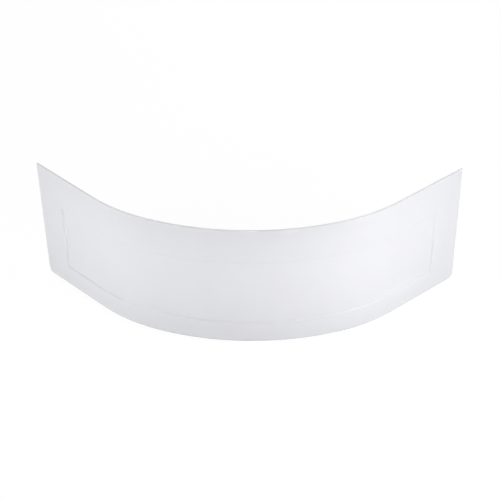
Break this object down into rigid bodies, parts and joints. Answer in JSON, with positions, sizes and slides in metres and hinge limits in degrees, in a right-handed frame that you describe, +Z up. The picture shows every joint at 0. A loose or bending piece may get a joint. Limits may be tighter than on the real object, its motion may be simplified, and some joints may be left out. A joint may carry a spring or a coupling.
{
  "type": "corner bath front panel",
  "caption": "Curved gloss white front panel of a corner bath with a recessed field and rolled foot, hung on slotted plates and stood on levelling feet behind.",
  "frame": {"origin": "middle of the panel's box, on the floor", "axes": "+Z up, +X along the chord between the two ends, the show face looks towards -Y"},
  "size_m": [1.9056, 0.5802, 0.605],
  "materials": {
    "gloss_acrylic": "gloss white sanitary acrylic",
    "glass_fibre": "rough laid-up glass fibre and polyester resin",
    "timber": "sawn softwood plywood",
    "zinc_plate": "bright zinc plated sheet steel",
    "zinc_fastener": "bright zinc plated fasteners",
    "pad_plastic": "black moulded polyamide"
  },
  "bodies": {
    "panel": {"acrylic_skin": "gloss_acrylic", "glassfibre_backing": "glass_fibre", "end_batten_left": "timber", "end_batten_right": "timber", "hanger_block_left_outer": "timber", "hanger_screws_left_outer": "zinc_fastener", "foot_block_left_outer": "timber", "foot_bracket_left_outer": "zinc_plate", "foot_screws_left_outer": "zinc_fastener", "foot_nut_left_outer": "zinc_fastener", "hanger_block_left_inner": "timber", "hanger_screws_left_inner": "zinc_fastener", "foot_block_left_inner": "timber", "foot_bracket_left_inner": "zinc_plate", "foot_screws_left_inner": "zinc_fastener", "foot_nut_left_inner": "zinc_fastener", "hanger_block_right_outer": "timber", "hanger_screws_right_outer": "zinc_fastener", "foot_block_right_outer": "timber", "foot_bracket_right_outer": "zinc_plate", "foot_screws_right_outer": "zinc_fastener", "foot_nut_right_outer": "zinc_fastener", "hanger_block_right_inner": "timber", "hanger_screws_right_inner": "zinc_fastener", "foot_block_right_inner": "timber", "foot_bracket_right_inner": "zinc_plate", "foot_screws_right_inner": "zinc_fastener", "foot_nut_right_inner": "zinc_fastener"},
    "hanger_left_outer": {"hanger_plate_left_outer": "zinc_plate"},
    "foot_left_outer": {"foot_pad_left_outer": "pad_plastic"},
    "stud_left_outer": {"foot_stud_left_outer": "zinc_fastener"},
    "hanger_left_inner": {"hanger_plate_left_inner": "zinc_plate"},
    "foot_left_inner": {"foot_pad_left_inner": "pad_plastic"},
    "stud_left_inner": {"foot_stud_left_inner": "zinc_fastener"},
    "hanger_right_outer": {"hanger_plate_right_outer": "zinc_plate"},
    "foot_right_outer": {"foot_pad_right_outer": "pad_plastic"},
    "stud_right_outer": {"foot_stud_right_outer": "zinc_fastener"},
    "hanger_right_inner": {"hanger_plate_right_inner": "zinc_plate"},
    "foot_right_inner": {"foot_pad_right_inner": "pad_plastic"},
    "stud_right_inner": {"foot_stud_right_inner": "zinc_fastener"}
  },
  "joints": [
    {"name": "hanger_slide_left_outer", "type": "slide", "parent": "panel", "child": "hanger_left_outer", "axis": [0, 0, 1], "range_m": [-0.008, 0.008]},
    {"name": "foot_travel_left_outer", "type": "slide", "parent": "panel", "child": "foot_left_outer", "axis": [0, 0, 1], "range_m": [-0.02, 0.02]},
    {"name": "foot_turn_left_outer", "type": "hinge", "parent": "foot_left_outer", "child": "stud_left_outer", "pos_m": [-0.79996, 0.21871, 0], "axis": [0, 0, 1], "range_deg": [-5040, 5040]},
    {"name": "hanger_slide_left_inner", "type": "slide", "parent": "panel", "child": "hanger_left_inner", "axis": [0, 0, 1], "range_m": [-0.008, 0.008]},
    {"name": "foot_travel_left_inner", "type": "slide", "parent": "panel", "child": "foot_left_inner", "axis": [0, 0, 1], "range_m": [-0.02, 0.02]},
    {"name": "foot_turn_left_inner", "type": "hinge", "parent": "foot_left_inner", "child": "stud_left_inner", "pos_m": [-0.27945, -0.15969, 0], "axis": [0, 0, 1], "range_deg": [-5040, 5040]},
    {"name": "hanger_slide_right_outer", "type": "slide", "parent": "panel", "child": "hanger_right_outer", "axis": [0, 0, 1], "range_m": [-0.008, 0.008]},
    {"name": "foot_travel_right_outer", "type": "slide", "parent": "panel", "child": "foot_right_outer", "axis": [0, 0, 1], "range_m": [-0.02, 0.02]},
    {"name": "foot_turn_right_outer", "type": "hinge", "parent": "foot_right_outer", "child": "stud_right_outer", "pos_m": [0.79996, 0.21871, 0], "axis": [0, 0, 1], "range_deg": [-5040, 5040]},
    {"name": "hanger_slide_right_inner", "type": "slide", "parent": "panel", "child": "hanger_right_inner", "axis": [0, 0, 1], "range_m": [-0.008, 0.008]},
    {"name": "foot_travel_right_inner", "type": "slide", "parent": "panel", "child": "foot_right_inner", "axis": [0, 0, 1], "range_m": [-0.02, 0.02]},
    {"name": "foot_turn_right_inner", "type": "hinge", "parent": "foot_right_inner", "child": "stud_right_inner", "pos_m": [0.27945, -0.15969, 0], "axis": [0, 0, 1], "range_deg": [-5040, 5040]}
  ],
  "couplings": [
    {"joint": "foot_turn_left_outer", "follows": "foot_travel_left_outer", "rad_per_m": 4188.8},
    {"joint": "foot_turn_left_inner", "follows": "foot_travel_left_inner", "rad_per_m": 4188.8},
    {"joint": "foot_turn_right_outer", "follows": "foot_travel_right_outer", "rad_per_m": 4188.8},
    {"joint": "foot_turn_right_inner", "follows": "foot_travel_right_inner", "rad_per_m": 4188.8}
  ]
}
